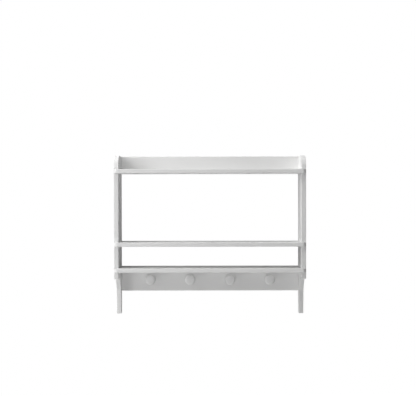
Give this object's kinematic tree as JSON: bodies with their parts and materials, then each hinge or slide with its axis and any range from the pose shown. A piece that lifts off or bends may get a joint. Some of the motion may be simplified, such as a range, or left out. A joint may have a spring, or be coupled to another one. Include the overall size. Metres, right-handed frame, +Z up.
{
  "type": "wall shelf with pegs",
  "caption": "Wall-hung white bookcase: full-depth shelves between shaped side boards, a gallery rail at the top, and a peg rail under the lowest shelf.",
  "frame": {"origin": "on the wall plane, in the middle of the back of the gallery rail, where the shelf hangs", "axes": "+X to the right along the wall as seen from the room, +Y into the wall, +Z up"},
  "size_m": [0.75, 0.16, 0.632],
  "materials": {
    "board_paint": "boards sprayed with white satin paint",
    "peg_paint": "turned wood sprayed with white satin paint",
    "zinc_steel": "bright zinc plate",
    "cap_plastic": "white moulded plastic",
    "beech": "bare beech dowel"
  },
  "bodies": {
    "root": {"left_side": "board_paint", "right_side": "board_paint", "upper_shelf": "board_paint", "middle_shelf": "board_paint", "lower_shelf": "board_paint", "gallery_rail": "board_paint", "peg_rail": "board_paint", "peg_1": "peg_paint", "peg_2": "peg_paint", "peg_3": "peg_paint", "peg_4": "peg_paint", "peg_screw_1": "zinc_steel", "peg_screw_2": "zinc_steel", "peg_screw_3": "zinc_steel", "peg_screw_4": "zinc_steel", "screw_upper_left_back": "zinc_steel", "screw_upper_left_front": "zinc_steel", "screw_upper_right_back": "zinc_steel", "screw_upper_right_front": "zinc_steel", "screw_middle_left_back": "zinc_steel", "screw_middle_left_front": "zinc_steel", "screw_middle_right_back": "zinc_steel", "screw_middle_right_front": "zinc_steel", "screw_lower_left_back": "zinc_steel", "screw_lower_left_front": "zinc_steel", "screw_lower_right_back": "zinc_steel", "screw_lower_right_front": "zinc_steel", "hanger_plate_left": "zinc_steel", "hanger_plate_right": "zinc_steel", "plate_screw_left_left": "zinc_steel", "plate_screw_left_right": "zinc_steel", "plate_screw_right_left": "zinc_steel", "plate_screw_right_right": "zinc_steel", "cap_upper_left_back": "cap_plastic", "cap_upper_left_front": "cap_plastic", "cap_upper_right_back": "cap_plastic", "cap_upper_right_front": "cap_plastic", "cap_middle_left_back": "cap_plastic", "cap_middle_left_front": "cap_plastic", "cap_middle_right_back": "cap_plastic", "cap_middle_right_front": "cap_plastic", "cap_lower_left_back": "cap_plastic", "cap_lower_left_front": "cap_plastic", "cap_lower_right_back": "cap_plastic", "cap_lower_right_front": "cap_plastic", "dowel_gallery_left_lower": "beech", "dowel_gallery_left_upper": "beech", "dowel_gallery_right_lower": "beech", "dowel_gallery_right_upper": "beech", "dowel_peg_left_lower": "beech", "dowel_peg_left_upper": "beech", "dowel_peg_right_lower": "beech", "dowel_peg_right_upper": "beech"}
  },
  "joints": []
}
